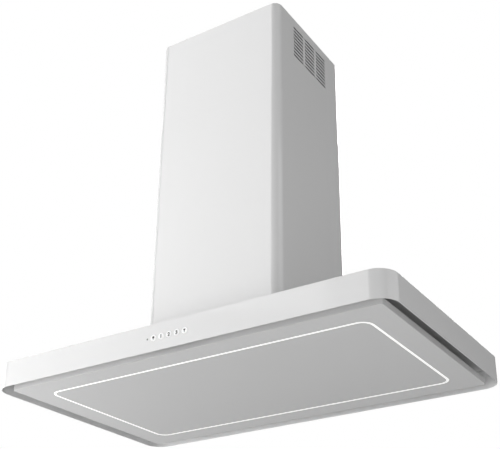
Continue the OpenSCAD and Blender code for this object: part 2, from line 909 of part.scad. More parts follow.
module outlet_collar() {
  bar_half = flap_axis_x - 0.8;
  ledge_top = flap_axis_z - flap_t / 2 - 0.1;
  color(dark_grey)
    difference() {
      union() {
        translate([0, 0, box_top]) cylinder(h = collar_flange_t, r = collar_flange_r);
        translate([0, 0, box_top]) cylinder(h = collar_h, r = collar_r);
      }
      difference() {
        translate([0, 0, box_top - 1]) cylinder(h = collar_h + 2, r = collar_in);
        // ledge that the closed flaps lie on
        translate([0, 0, ledge_top - 3])
          difference() {
            cylinder(h = 3, r = collar_in + 1);
            translate([0, 0, -1]) cylinder(h = 5, r = collar_in - ledge_w);
          }
        // bar across the middle, below the flaps
        block(
          [-bar_half, -collar_in - 1, flap_axis_z - 11],
          [bar_half, collar_in + 1, flap_axis_z - flap_knuckle_r - seat]
        );
      }
      for (sx = [-1, 1])
        translate([sx * flap_axis_x, 0, flap_axis_z])
          rotate([90, 0, 0]) translate([0, 0, -collar_r - 1]) cylinder(h = 2 * collar_r + 2, r = flap_pin_r);
    }
}

module damper_pins() {
  reach = sqrt(collar_r * collar_r - flap_axis_x * flap_axis_x) - 0.5;
  color(zinc)
    for (sx = [-1, 1])
      translate([sx * flap_axis_x, reach, flap_axis_z])
        rotate([90, 0, 0]) cylinder(h = 2 * reach, r = flap_pin_r);
}

// Half-disc flap on the +X side with its knuckle round the pin
module damper_flap() {
  knuckle_half = collar_in - ledge_w - 1;
  color([0.3, 0.3, 0.31])
    difference() {
      union() {
        intersection() {
          translate([0, 0, flap_axis_z - flap_t / 2]) cylinder(h = flap_t, r = flap_r);
          block([flap_axis_x, -flap_r, flap_axis_z - 2], [flap_r, flap_r, flap_axis_z + 2]);
        }
        translate([flap_axis_x, knuckle_half, flap_axis_z])
          rotate([90, 0, 0]) cylinder(h = 2 * knuckle_half, r = flap_knuckle_r);
        // stiffening rib
        block([flap_axis_x + 2, -1, flap_axis_z], [flap_r - 12, 1, flap_axis_z + 4]);
      }
      translate([flap_axis_x, collar_r, flap_axis_z])
        rotate([90, 0, 0]) cylinder(h = 2 * collar_r, r = flap_pin_r + slide_fit);
    }
}

module damper_flap_right() damper_flap();
module damper_flap_left() mirror([1, 0, 0]) damper_flap();

// ---------- electrics on the extractor box ----------

// Box with an overlapping lid, from x_in to x_out
module electric_box(x_in, x_out, half_len, h) {
  lid_low = box_top + h - cover_h;
  block([x_in, -half_len, box_top], [x_out, half_len, lid_low]);
  block(
    [x_in - cover_rim, -half_len - cover_rim, lid_low],
    [x_out + cover_rim, half_len + cover_rim, box_top + h]
  );
}

module control_box() {
  color(dark_grey)
    difference() {
      electric_box(control_in, control_out, control_half, control_h);
      translate([gland_x, control_half - 15, box_top + gland_up])
        rotate([-90, 0, 0]) cylinder(h = 20, r = gland_r);
    }
}

module led_driver() {
  color(white) electric_box(-driver_out, -driver_in, driver_half, driver_h);
}

module cable_gland() {
  color([0.1, 0.1, 0.1])
    translate([gland_x, control_half, box_top + gland_up])
      rotate([-90, 0, 0])
        difference() {
          union() {
            translate([0, 0, -9]) cylinder(h = 9, r = gland_r - slide_fit);
            cylinder(h = 4, r = gland_r + 3, $fn = 6);
            translate([0, 0, 4]) cylinder(h = 6, r = gland_r + 0.5);
          }
          translate([0, 0, -10]) cylinder(h = 22, r = gland_r * 0.6);
        }
}

// ---------- controls in the canopy's front ----------

module switch_housing() {
  low = control_z - housing_h / 2;
  high = control_z + housing_h / 2;
  color(dark_grey)
    difference() {
      block([housing_left, front_in, low], [housing_right, front_in + housing_d, high]);
      block(
        [housing_left + housing_t, front_in + housing_t, low + housing_t],
        [housing_right - housing_t, front_in + housing_d + 1, high - housing_t]
      );
      for (i = [0 : button_count - 1])
        translate([button_x0 + i * button_pitch, front_in - 1, control_z])
          rotate([-90, 0, 0]) cylinder(h = housing_t + 2, r = button_r + hole_gap);
      translate([indicator_x, front_in - 1, control_z])
        rotate([-90, 0, 0]) cylinder(h = housing_t + 2, r = indicator_r + slide_fit);
    }
}

module switch_board() {
  inset = housing_t + seat;
  color([0.1, 0.35, 0.2])
    difference() {
      union() {
        block(
          [housing_left + inset, board_y, control_z - housing_h / 2 + inset],
          [housing_right - inset, board_y + board_t, control_z + housing_h / 2 - inset]
        );
        for (i = [0 : button_count - 1])
          translate([button_x0 + i * button_pitch - 3, board_y - tact_h, control_z - 3])
            cube([6, tact_h + eps, 6]);
      }
      for (i = [0 : button_count - 1])
        translate([button_x0 + i * button_pitch, board_y - tact_h - 1, control_z])
          rotate([-90, 0, 0]) cylinder(h = 1 + tact_bore, r = stem_r + slide_fit);
    }
}

module indicator_lens() {
  color([0.6, 0.62, 0.64])
    translate([indicator_x, front_y, control_z])
      rotate([-90, 0, 0]) {
        rotate_extrude()
          polygon([
            [0, -0.5], [indicator_r * 0.6, -0.4], [indicator_r, 0],
            [indicator_r, board_y - front_y - seat], [0, board_y - front_y - seat]
          ]);
      }
}

// Push button: rounded cap with a shallow dish, retaining collar and stem
module push_button(i) {
  edge = 1.1;
  collar_y = front_in + housing_t + seat;
  stem_end = board_y - tact_h + stem_in;
  cap = button_proud + collar_y - front_y;
  color(white)
    translate([button_x0 + i * button_pitch, front_y - button_proud, control_z])
      rotate([-90, 0, 0])
        rotate_extrude()
          difference() {
            union() {
              translate([0, edge]) square([button_r, cap - edge]);
              square([button_r - edge, cap]);
              translate([button_r - edge, edge]) circle(edge);
              translate([0, cap]) square([collar_button_r, 1.5]);
              translate([0, cap]) square([stem_r, stem_end - collar_y]);
            }
            translate([0, -1]) square([button_r - 2.6, 1.35]);
          }
}

module button_light() push_button(0);
module button_speed_one() push_button(1);
module button_speed_two() push_button(2);
module button_speed_three() push_button(3);
module button_timer() push_button(4);

// ---------- lower chimney cover ----------

module lower_chimney() {
  color(white)
    translate([0, 0, canopy_h]) round_tube(chimney_w, chimney_d, chimney_r, chimney_sheet, lower_len);
}

// ---------- suction panel ----------

module panel_border() {
  color(white)
    difference() {
      translate([0, 0, panel_recess]) linear_extrude(flange_h) round_rect(panel_w, panel_d, panel_r);
      // inside of the tray, below the lip
      translate([0, 0, panel_top])
        linear_extrude(flange_h - 2 * panel_sheet)
          round_rect(panel_w - 2 * panel_sheet, panel_d - 2 * panel_sheet, panel_r - panel_sheet);
      // mouth inside the lip
      translate([0, 0, panel_top])
        linear_extrude(flange_h)
          square([panel_w - 2 * lip_w, panel_d - 2 * lip_w], center = true);
      // window inside the light line
      translate([0, 0, -1])
        linear_extrude(flange_h)
          round_rect(line_len_x + 2 * window_off, line_len_y + 2 * window_off, line_r + window_off);
      // the rear flange opens round the hinge brackets
      pair()
        block(
          [hinge_x - notch_half, panel_d / 2 - lip_w - 1, panel_top],
          [hinge_x + notch_half, panel_d / 2 + 1, flange_top + 1]
        );
    }
}

module centre_panel() {
  color([0.88, 0.88, 0.88])
    translate([0, 0, panel_recess])
      linear_extrude(panel_sheet)
        round_rect(line_len_x - 2 * window_off, line_len_y - 2 * window_off, line_r - window_off);
}

// Top-hat strips that keep the centre panel flat
module panel_stiffeners() {
  half_len = line_len_x / 2 - 60;
  hat_t = 1;
  hat_h = 8;
  color(zinc)
    for (y = [-line_len_y / 4, line_len_y / 4])
      translate([-half_len, y, panel_top])
        rotate([90, 0, 90])
          linear_extrude(2 * half_len)
            polygon([
              [-24, 0], [-10, 0], [-10 + hat_t, hat_h - hat_t], [10 - hat_t, hat_h - hat_t], [10, 0], [24, 0],
              [24, hat_t], [11, hat_t], [11 - hat_t, hat_h], [-11 + hat_t, hat_h], [-11, hat_t], [-24, hat_t]
            ]);
}

// Extruded channel that joins border and centre and holds the light guide
module light_channel() {
  color([0.8, 0.81, 0.82]) {
    line_ring(channel_wall, channel_out + channel_flange, panel_top, channel_t);
    line_ring(-channel_out - channel_flange, -channel_wall, panel_top, channel_t);
    line_ring(channel_wall, channel_out, panel_top, channel_h);
    line_ring(-channel_out, -channel_wall, panel_top, channel_h);
    line_ring(-channel_out, channel_out, channel_top - channel_t, channel_t);
  }
}

module light_guide() {
  color([1, 1, 0.97]) line_ring(-line_w / 2, line_w / 2, panel_recess, guide_h);
}

// Straight strips on the channel's ceiling, with a lens every 20 mm
module led_strips() {
  strip_t = 1;
  half_w = line_w / 2 - 0.6;
  top = channel_top - channel_t;
  len_x = line_len_x / 2 - line_r - 4;
  len_y = line_len_y / 2 - line_r - 4;
  color([0.95, 0.95, 0.85])
    for (s = [-1, 1]) {
      translate([0, s * line_len_y / 2, 0]) led_strip(len_x, half_w, top, strip_t);
      translate([s * line_len_x / 2, 0, 0]) rotate(90) led_strip(len_y, half_w, top, strip_t);
    }
}

module led_strip(half_len, half_w, top, t) {
  pitch = 20;
  lens_half = half_w - 0.3;
  lens_h = 0.7;
  count = floor(half_len / pitch);
  block([-half_len, -half_w, top - t], [half_len, half_w, top]);
  for (i = [-count : count])
    block([i * pitch - lens_half, -lens_half, top - t - lens_h], [i * pitch + lens_half, lens_half, top - t]);
}

// Moving hinge leaves, screwed to the inside of the border
module hinge_leaves() {
  color(zinc)
    pair()
      translate([hinge_x, hinge_y, 0])
        difference() {
          union() {
            block(
              [-knuckle_len / 2, -leaf_front, panel_top],
              [knuckle_len / 2, leaf_back, panel_top + leaf_t]
            );
            block([-knuckle_len / 2, -leaf_t / 2, panel_top], [knuckle_len / 2, leaf_t / 2, hinge_z]);
            translate([-knuckle_len / 2, 0, hinge_z])
              rotate([0, 90, 0]) cylinder(h = knuckle_len, r = knuckle_r);
          }
          translate([-knuckle_len / 2 - 1, 0, hinge_z])
            rotate([0, 90, 0]) cylinder(h = knuckle_len + 2, r = hinge_pin_r + slide_fit);
        }
}

// Fixed brackets under the liner: two ears and a foot each
module hinge_brackets() {
  foot_t = 1.5;
  color(zinc)
    pair()
      translate([hinge_x, hinge_y, 0]) {
        block([-ear_out, -bracket_half, liner_z - foot_t], [ear_out, bracket_half, liner_z]);
        for (s = [0, 1])
          mirror([s, 0, 0])
            difference() {
              union() {
                block([ear_in, -ear_r, hinge_z], [ear_out, ear_r, liner_z - foot_t]);
                translate([ear_in, 0, hinge_z]) rotate([0, 90, 0]) cylinder(h = ear_t, r = ear_r);
              }
              translate([ear_in - 1, 0, hinge_z]) rotate([0, 90, 0]) cylinder(h = ear_t + 2, r = hinge_pin_r);
            }
      }
}

module hinge_pins() {
  color(zinc)
    pair()
      translate([hinge_x - ear_out, hinge_y, hinge_z])
        rotate([0, 90, 0]) cylinder(h = 2 * ear_out, r = hinge_pin_r);
}

module magnet_catches() {
  color(dark_grey)
    pair()
      translate([catch_x, catch_y, 0]) {
        block([-magnet_half_w, -magnet_half_d, catch_low], [magnet_half_w, magnet_half_d, liner_z - 2]);
        block([-catch_foot_half, -magnet_half_d, liner_z - 2], [catch_foot_half, magnet_half_d, liner_z]);
      }
}

module catch_strikers() {
  plate = 1.5;
  top = catch_low - seat;
  color(zinc)
    pair()
      translate([catch_x, catch_y, 0]) {
        block([-striker_half_w, -striker_half_d, top - plate], [striker_half_w, striker_half_d, top]);
        block([-striker_half_w, striker_half_d - plate, panel_top], [striker_half_w, striker_half_d, top]);
        block(
          [-striker_half_w, -striker_half_d, panel_top],
          [striker_half_w, striker_half_d, panel_top + plate]
        );
      }
}

hung() ceiling_plate();
hung() upper_frame();
hung() upper_chimney();
hung() cover_screws();
hung() air_outlet_box();
hung() outlet_sleeves();
hung() canopy_band();
hung() canopy_top();
hung() suction_liner();
hung() filter_rails();
hung() grease_filter_left();
hung() grease_filter_centre();
hung() grease_filter_right();
hung() lower_frame();
hung() clamp_screws();
hung() base_screws();
hung() extractor_box();
hung() blower_scroll();
hung() motor_bracket();
hung() motor();
hung() outlet_collar();
hung() damper_pins();
hung() control_box();
hung() led_driver();
hung() cable_gland();
hung() hinge_brackets();
hung() hinge_pins();
hung() magnet_catches();
hung() switch_housing();
hung() switch_board();
hung() indicator_lens();
hung() lower_chimney();
hung() panel_border();
hung() centre_panel();
hung() panel_stiffeners();
hung() light_channel();
hung() light_guide();
hung() led_strips();
hung() hinge_leaves();
hung() catch_strikers();
hung() button_light();
hung() button_speed_one();
hung() button_speed_two();
hung() button_speed_three();
hung() button_timer();
hung() latch_left();
hung() latch_centre();
hung() latch_right();
hung() blower_impeller();
hung() motor_shaft();
hung() damper_flap_left();
hung() damper_flap_right();
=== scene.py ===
# Island range hood: finishes, fine pieces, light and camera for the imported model.
# Metres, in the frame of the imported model: the ceiling is at z = 0, the control side faces -Y.
import json
import math

import bmesh
import bpy
from mathutils import Matrix, Vector


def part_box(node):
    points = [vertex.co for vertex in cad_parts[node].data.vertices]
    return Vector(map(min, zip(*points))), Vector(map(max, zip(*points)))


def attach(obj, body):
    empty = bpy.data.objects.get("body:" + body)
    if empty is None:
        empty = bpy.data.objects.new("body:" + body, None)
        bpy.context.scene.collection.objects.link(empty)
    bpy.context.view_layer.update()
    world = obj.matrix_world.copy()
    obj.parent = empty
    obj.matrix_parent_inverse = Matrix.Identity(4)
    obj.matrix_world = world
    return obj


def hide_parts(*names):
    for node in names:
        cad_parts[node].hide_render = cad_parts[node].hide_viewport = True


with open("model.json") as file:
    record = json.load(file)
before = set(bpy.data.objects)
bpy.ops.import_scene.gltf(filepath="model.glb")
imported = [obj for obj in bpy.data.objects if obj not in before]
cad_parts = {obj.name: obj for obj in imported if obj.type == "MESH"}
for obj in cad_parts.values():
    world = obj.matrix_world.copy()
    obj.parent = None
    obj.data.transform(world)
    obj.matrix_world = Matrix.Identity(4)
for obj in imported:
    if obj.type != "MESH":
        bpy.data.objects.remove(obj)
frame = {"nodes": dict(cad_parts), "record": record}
nodes = frame["nodes"]
scene = bpy.context.scene
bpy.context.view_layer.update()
slotOf = {part["node"]: part["material_slot"] for part in frame["record"]["subparts"]}
bodyOf = {node: body for body, group in frame["record"]["behaviour"]["bodies"].items() for node in group}


cameraView = {
    "place": (1.14957, -1.74626, -1.6434),
    "turn": 30.696,
    "tilt": 24.499,
    "roll": -0.469,
    "lens": 69.09,
    "sensor": 36.0,
    "nearClip": 0.05,
    "shiftX": -0.0802,
    "shiftY": 0.1366,
}


def makeCamera():
    data = bpy.data.cameras.new("photoCamera")
    data.lens = cameraView["lens"]
    data.sensor_width = cameraView["sensor"]
    data.shift_x = cameraView["shiftX"]
    data.shift_y = cameraView["shiftY"]
    data.clip_start = cameraView["nearClip"]
    camera = bpy.data.objects.new("photoCamera", data)
    look = Matrix.Rotation(math.radians(cameraView["turn"]), 3, "Z")
    look @= Matrix.Rotation(math.radians(90 + cameraView["tilt"]), 3, "X")
    look @= Matrix.Rotation(math.radians(cameraView["roll"]), 3, "Z")
    camera.location = cameraView["place"]
    camera.rotation_euler = look.to_euler()
    scene.collection.objects.link(camera)
    scene.camera = camera


makeCamera()


class Wire:
    # one output socket, ready for arithmetic
    def __init__(self, finish, socket):
        self.finish = finish
        self.socket = socket

    def maths(self, operation, *values):
        sockets = dict(enumerate(values))
        return self.finish.add("ShaderNodeMath", {"operation": operation}, sockets)

    def __add__(self, other):
        return self.maths("ADD", self, other)

    def __radd__(self, other):
        return self.maths("ADD", other, self)

    def __sub__(self, other):
        return self.maths("SUBTRACT", self, other)

    def __rsub__(self, other):
        return self.maths("SUBTRACT", other, self)

    def __mul__(self, other):
        return self.maths("MULTIPLY", self, other)

    def __rmul__(self, other):
        return self.maths("MULTIPLY", other, self)

    def __gt__(self, other):
        return self.maths("GREATER_THAN", self, other)

    def __lt__(self, other):
        return self.maths("LESS_THAN", self, other)

    def largest(self, other):
        return self.maths("MAXIMUM", self, other)

    def size(self):
        return self.maths("ABSOLUTE", self)

    def fraction(self):
        return self.maths("FRACT", self)


class Finish:
    # a material under construction
    def __init__(self, name, **fixed):
        self.material = bpy.data.materials.new(name)
        self.material.use_nodes = True
        self.tree = self.material.node_tree
        self.shader = self.tree.nodes["Principled BSDF"]
        self.place = self.add("ShaderNodeTexCoord", output="Object")
        for socketName, value in fixed.items():
            self.shader.inputs[socketName.replace("_", " ")].default_value = value

    def add(self, kind, settings=None, sockets=None, output=0):
        node = self.tree.nodes.new(kind)
        for key, value in (settings or {}).items():
            setattr(node, key, value)
        for key, value in (sockets or {}).items():
            self.feed(node.inputs[key], value)
        return Wire(self, node.outputs[output])

    def feed(self, socket, value):
        if isinstance(value, Wire):
            self.tree.links.new(value.socket, socket)
        else:
            socket.default_value = value

    def noise(self, scale, detail=2.0, roughness=0.5, place=None):
        sockets = {"Vector": place or self.place, "Scale": scale, "Detail": detail, "Roughness": roughness}
        return self.add("ShaderNodeTexNoise", None, sockets, "Fac")

    def cells(self, scale, output="Distance"):
        sockets = {"Vector": self.place, "Scale": scale}
        return self.add("ShaderNodeTexVoronoi", {"feature": "F1"}, sockets, output)

    def stretch(self, x, y, z):
        settings = {"vector_type": "POINT"}
        sockets = {"Vector": self.place, "Scale": (x, y, z)}
        return self.add("ShaderNodeMapping", settings, sockets)

    def axis(self, name, place=None):
        return self.add("ShaderNodeSeparateXYZ", None, {0: place or self.place}, name)

    def blend(self, factor, first, second):
        sockets = {"Factor": factor, 6: first, 7: second}
        return self.add("ShaderNodeMix", {"data_type": "RGBA"}, sockets, 2)

    def colour(self, wire):
        self.feed(self.shader.inputs["Base Color"], wire)

    def rough(self, wire):
        self.feed(self.shader.inputs["Roughness"], wire)

    def relief(self, height, depth):
        sockets = {"Height": height, "Distance": depth, "Strength": 1.0}
        bump = self.add("ShaderNodeBump", None, sockets)
        self.feed(self.shader.inputs["Normal"], bump)


def tone(grey, warm=0.0):
    # a near-neutral colour, warmer for positive values
    return (grey * (1 + warm), grey, grey * (1 - warm), 1.0)


enamel = {
    "shell": 0.80,
    "border": 0.735,
    "centre": 0.70,
    "roughness": 0.5,
    "peelScale": 420.0,
    "peelDepth": 0.000012,
}


def enamelFinish(name, grey, roughness):
    # gloss lacquer over powder coat: faint orange peel, slow tone drift, dust-fine speckle
    f = Finish(name, Coat_Weight=1.0, Coat_Roughness=0.05, Specular_IOR_Level=0.3)
    drift = f.noise(3.0, 3.0, 0.6)
    speckle = f.noise(1500.0, 1.0)
    shade = drift * 0.7 + speckle * 0.3
    f.colour(f.blend(shade, tone(grey * 0.985, 0.002), tone(grey * 1.012, -0.001)))
    handled = f.noise(9.0, 4.0, 0.65)
    f.rough(roughness + (handled - 0.5) * 0.07 + (speckle - 0.5) * 0.03)
    f.relief(f.noise(enamel["peelScale"], 2.0) + f.noise(90.0, 1.0) * 0.8, enamel["peelDepth"])
    return f.material


def linerFinish():
    # matt coat with a fine grain
    f = Finish("linerCoat", Specular_IOR_Level=0.4)
    grain = f.noise(900.0, 2.0)
    drift = f.noise(6.0, 3.0)
    f.colour(f.blend(grain * 0.5 + drift * 0.5, tone(0.44), tone(0.56)))
    f.rough(0.55 + (grain - 0.5) * 0.15)
    f.relief(grain, 0.00005)
    return f.material


def zincFinish(name, light, dark, spangleScale):
    # zinc-plated sheet: large soft crystals, each with its own tone and gloss
    f = Finish(name, Metallic=1.0)
    crystal = f.cells(spangleScale, "Color")
    level = f.axis("X", crystal)
    wipe = f.noise(14.0, 4.0, 0.6)
    f.colour(f.blend(level * 0.6 + wipe * 0.4, tone(dark, -0.01), tone(light, -0.015)))
    f.rough(0.30 + level * 0.16 + (wipe - 0.5) * 0.12)
    f.relief(f.noise(400.0, 3.0), 0.00003)
    return f.material


def platedFinish():
    # zinc-plated screws and pins
    f = Finish("platedSteel", Metallic=1.0)
    wipe = f.noise(260.0, 3.0, 0.6)
    f.colour(f.blend(wipe, (0.46, 0.47, 0.50, 1.0), (0.66, 0.66, 0.64, 1.0)))
    f.rough(0.26 + wipe * 0.18)
    f.relief(f.noise(2400.0, 2.0), 0.00001)
    return f.material


def drawnAluminium(name, grey, run):
    # fine lines along the drawing direction
    f = Finish(name, Metallic=1.0, Anisotropic=0.3)
    stretched = {"x": (4.0, 900.0, 900.0), "y": (900.0, 4.0, 900.0)}[run]
    lines = f.noise(1.0, 3.0, 0.6, f.stretch(*stretched))
    drift = f.noise(12.0, 3.0)
    f.colour(f.blend(lines * 0.6 + drift * 0.4, tone(grey * 0.88), tone(grey)))
    f.rough(0.24 + lines * 0.2)
    f.relief(lines, 0.00002)
    return f.material


def plasticFinish(name, grey, roughness, grain=1400.0, warm=0.0):
    # moulded plastic with a fine spark-eroded grain
    f = Finish(name, Specular_IOR_Level=0.45)
    pits = f.noise(grain, 2.0, 0.6)
    drift = f.noise(10.0, 3.0)
    mix = pits * 0.4 + drift * 0.6
    f.colour(f.blend(mix, tone(grey * 0.86, warm), tone(grey * 1.12, warm)))
    f.rough(roughness + (pits - 0.5) * 0.14 + (drift - 0.5) * 0.08)
    f.relief(pits, 0.00003)
    return f.material


def capFinish():
    # polished white cap with a painted glow: a faint emission brightens it, though no lamp lights it from
    # behind
    f = Finish("paintedGlowCap", Coat_Weight=1.0, Coat_Roughness=0.05, Roughness=0.4, Emission_Strength=0.11)
    cloud = f.noise(300.0, 2.0)
    f.colour(f.blend(cloud, tone(0.92), tone(0.95)))
    f.rough(0.36 + cloud * 0.1)
    return f.material


def boardFinish():
    # lacquered board with copper tracks under the lacquer
    f = Finish("circuitBoard", Coat_Weight=0.5, Coat_Roughness=0.1)
    across = (f.axis("X") * 420.0).fraction()
    up = (f.axis("Z") * 510.0).fraction()
    tracks = ((across - 0.5).size() < 0.14).largest((up - 0.5).size() < 0.09)
    broken = f.cells(170.0) > 0.42
    f.colour(f.blend(tracks * broken, (0.012, 0.10, 0.045, 1.0), (0.03, 0.24, 0.10, 1.0)))
    f.rough(0.32 + f.noise(600.0) * 0.1)
    f.relief(tracks * broken, 0.00003)
    return f.material


def litGuideFinish():
    # opal guide, lit evenly, with a faint random cloud in its tone
    f = Finish("opalGuide", Emission_Strength=0.5, Roughness=0.35, Specular_IOR_Level=0.3)
    cloud = f.noise(55.0, 2.0)
    f.colour(f.blend(cloud, (0.92, 0.92, 0.90, 1.0), (0.97, 0.97, 0.95, 1.0)))
    glow = f.blend(cloud, (0.97, 0.975, 0.96, 1.0), (1.0, 1.0, 0.99, 1.0))
    f.feed(f.shader.inputs["Emission Color"], glow)
    return f.material


def ledStripFinish():
    # pale yellow strip of diodes
    f = Finish("ledStrip", Roughness=0.4)
    speck = f.noise(900.0, 2.0)
    f.colour(f.blend(speck, (0.86, 0.80, 0.52, 1.0), (0.93, 0.90, 0.74, 1.0)))
    f.rough(0.32 + speck * 0.2)
    return f.material


finishes = {
    "white_enamel": enamelFinish("shellEnamel", enamel["shell"], enamel["roughness"]),
    "panel_enamel": enamelFinish("panelEnamel", enamel["centre"], enamel["roughness"] + 0.04),
    "liner_enamel": linerFinish(),
    "zinc_steel": zincFinish("zincSheet", 0.60, 0.42, 70.0),
    "filter_aluminium": drawnAluminium("filterFrame", 0.72, "y"),
    "anodised": drawnAluminium("anodisedChannel", 0.74, "x"),
    "black_plastic": plasticFinish("blackPlastic", 0.018, 0.48),
    "grey_plastic": plasticFinish("greyPlastic", 0.055, 0.52),
    "button_white": plasticFinish("whitePlastic", 0.88, 0.22, 500.0),
    "opal_guide": litGuideFinish(),
    "led_white": ledStripFinish(),
    "indicator_grey": plasticFinish("indicatorLens", 0.23, 0.15, 900.0),
    "board_green": boardFinish(),
    "motor_metal": plasticFinish("motorPaint", 0.075, 0.38, 300.0),
}
platedSteel = platedFinish()
ductPlastic = plasticFinish("ductPlastic", 0.022, 0.6)
ownFinish = {
    # nodes that differ from the rest of their slot
    "panel_border": enamelFinish("borderEnamel", enamel["border"], enamel["roughness"]),
    "air_outlet_box": ductPlastic,
    "outlet_sleeves": ductPlastic,
    "clamp_screws": platedSteel,
    "hinge_pins": platedSteel,
    "damper_pins": platedSteel,
    "motor_shaft": platedSteel,
}


def finishOf(nodeName):
    return ownFinish.get(nodeName, finishes[slotOf[nodeName]])


for nodeName in slotOf:
    nodes[nodeName].data.materials.clear()
    nodes[nodeName].data.materials.append(finishOf(nodeName))
print("hood: finishes on", len(slotOf), "nodes")


def newPiece(name, bm, material, body, smoothAngle=35.0):
    mesh = bpy.data.meshes.new(name)
    for face in bm.faces:
        face.smooth = True
    bm.to_mesh(mesh)
    bm.free()
    mesh.set_sharp_from_angle(angle=math.radians(smoothAngle))
    mesh.materials.append(material)
    piece = bpy.data.objects.new(name, mesh)
    scene.collection.objects.link(piece)
    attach(piece, body)
    return piece


edgeBreak = {
    # lengths in metres, angles in degrees
    "sharperThan": 32.0,
    "segments": 2,
    "mergeWithin": 0.000002,
    "flatWithin": 0.5,
    "smoothBelow": 40.0,
}


def bevelSharp(bm, width):
    # rounds every edge that is sharper than the limit
    limit = math.radians(edgeBreak["sharperThan"])
    sharp = [edge for edge in bm.edges if edge.is_manifold and edge.calc_face_angle() > limit]
    bmesh.ops.bevel(
        bm, geom=sharp, offset=width, offset_type="OFFSET", segments=edgeBreak["segments"],
        profile=0.5, affect="EDGES", clamp_overlap=False, material=-1,
    )


softEdges = {
    # node: radius of its broken edges
    "canopy_band": 0.0004,
    "canopy_top": 0.0003,
    "lower_chimney": 0.0003,
    "upper_chimney": 0.0002,
    "panel_border": 0.0003,
    "centre_panel": 0.0003,
    "light_channel": 0.0002,
    "suction_liner": 0.0003,
    "extractor_box": 0.0003,
    "ceiling_plate": 0.0004,
    "lower_frame": 0.0003,
    "upper_frame": 0.0003,
    "control_box": 0.0012,
    "led_driver": 0.0012,
    "motor": 0.0006,
    "magnet_catches": 0.0006,
    "switch_housing": 0.0003,
    "outlet_collar": 0.0004,
    "air_outlet_box": 0.0004,
}


def refine(nodeName, width):
    # the same shape with its edges broken, as folded sheet and moulded pieces have
    bm = bmesh.new()
    bm.from_mesh(nodes[nodeName].data)
    bmesh.ops.remove_doubles(bm, verts=bm.verts, dist=edgeBreak["mergeWithin"])
    flat = math.radians(edgeBreak["flatWithin"])
    bmesh.ops.dissolve_limit(bm, angle_limit=flat, verts=bm.verts, edges=bm.edges)
    bevelSharp(bm, width)
    name = nodeName + "_finished"
    smooth = edgeBreak["smoothBelow"]
    piece = newPiece(name, bm, finishOf(nodeName), bodyOf[nodeName], smooth)
    facing = piece.modifiers.new("flatFaces", "WEIGHTED_NORMAL")
    facing.keep_sharp = True
    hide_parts(nodeName)


for nodeName, width in softEdges.items():
    refine(nodeName, width)
print("hood: broken edges on", len(softEdges), "pieces")


buttonStyle = {
    "capRadius": 0.0073,
    "rimRadius": 0.0006,
    "dishRadius": 0.0058,
    "dishDepth": 0.00045,
    "collarRadius": 0.0086,
    "collarThickness": 0.0015,
    "collarSeat": 0.0018,
    "stemRadius": 0.0017,
    "markHeight": 0.0082,
    "markWeight": 0.0005,
    "markDepth": 0.00018,
    "markSink": 0.0004,
    "numberScale": 1.36,
    "arcSteps": 6,
    "turnSteps": 48,
    "mergeWithin": 0.000001,
    "smoothBelow": 50.0,
}


def buttonProfile(capLength, stemLength):
    # radius and depth behind the face, from the middle of the dish to the stem's end
    style = buttonStyle
    arc = style["arcSteps"]
    dish = [style["dishRadius"] * step / arc for step in range(arc + 1)]
    points = [(r, style["dishDepth"] * (1 - (r / style["dishRadius"]) ** 2)) for r in dish]
    rim = style["capRadius"] - style["rimRadius"]
    for step in range(arc + 1):
        turn = math.radians(90 * step / arc)
        points.append((rim + style["rimRadius"] * math.sin(turn), style["rimRadius"] * (1 - math.cos(turn))))
    collarBack = capLength + style["collarThickness"]
    points += [(style["capRadius"], capLength), (style["collarRadius"], capLength)]
    points += [(style["collarRadius"], collarBack), (style["stemRadius"], collarBack)]
    points += [(style["stemRadius"], stemLength), (0.0, stemLength)]
    return points


def spinProfile(bm, points, centre, steps):
    # turns a radius and depth profile round an axis along Y through the centre
    verts = [bm.verts.new(Vector(centre) + Vector((r, depth, 0.0))) for r, depth in points]
    edges = [bm.edges.new(pair) for pair in zip(verts, verts[1:])]
    bmesh.ops.spin(
        bm, geom=verts + edges, cent=centre, axis=(0.0, 1.0, 0.0),
        angle=math.tau, steps=steps, use_merge=True, use_duplicate=False,
    )
    bmesh.ops.remove_doubles(bm, verts=bm.verts, dist=buttonStyle["mergeWithin"])
    bmesh.ops.recalc_face_normals(bm, faces=bm.faces)


lampShape = {
    # shares of the mark's height; each foot is its lower end, upper end and half width
    "bulbRadius": 0.34,
    "bulbMiddle": 0.14,
    "feet": ((-0.36, -0.26, 0.16), (-0.5, -0.41, 0.11)),
}
glassShape = {
    # shares of the mark's height
    "bowlRadius": 0.42,
    "bowlMiddle": 0.16,
    "foot": (-0.48, -0.12, 0.075),
}


def markBar(bm, size, low, high, half):
    # an upright bar, its ends and half width as shares of the mark's height
    bar = bmesh.ops.create_grid(bm, x_segments=1, y_segments=1, size=0.5)["verts"]
    bmesh.ops.scale(bm, verts=bar, vec=(size * half * 2, size * (high - low), 1.0))
    bmesh.ops.translate(bm, verts=bar, vec=(0.0, size * (low + high) / 2, 0.0))


def lampMark(bm, size):
    # bulb with a narrower foot
    radius = size * lampShape["bulbRadius"]
    bulb = bmesh.ops.create_circle(bm, segments=24, radius=radius, cap_ends=True)["verts"]
    bmesh.ops.translate(bm, verts=bulb, vec=(0.0, size * lampShape["bulbMiddle"], 0.0))
    for foot in lampShape["feet"]:
        markBar(bm, size, *foot)


def timerMark(bm, size):
    # hand glass: wide at the top, narrow neck, short foot
    radius = size * glassShape["bowlRadius"]
    bowl = bmesh.ops.create_circle(bm, segments=3, radius=radius, cap_ends=True)["verts"]
    bmesh.ops.rotate(bm, verts=bowl, cent=(0, 0, 0), matrix=Matrix.Rotation(math.pi, 3, "Z"))
    bmesh.ops.translate(bm, verts=bowl, vec=(0.0, size * glassShape["bowlMiddle"], 0.0))
    markBar(bm, size, *glassShape["foot"])


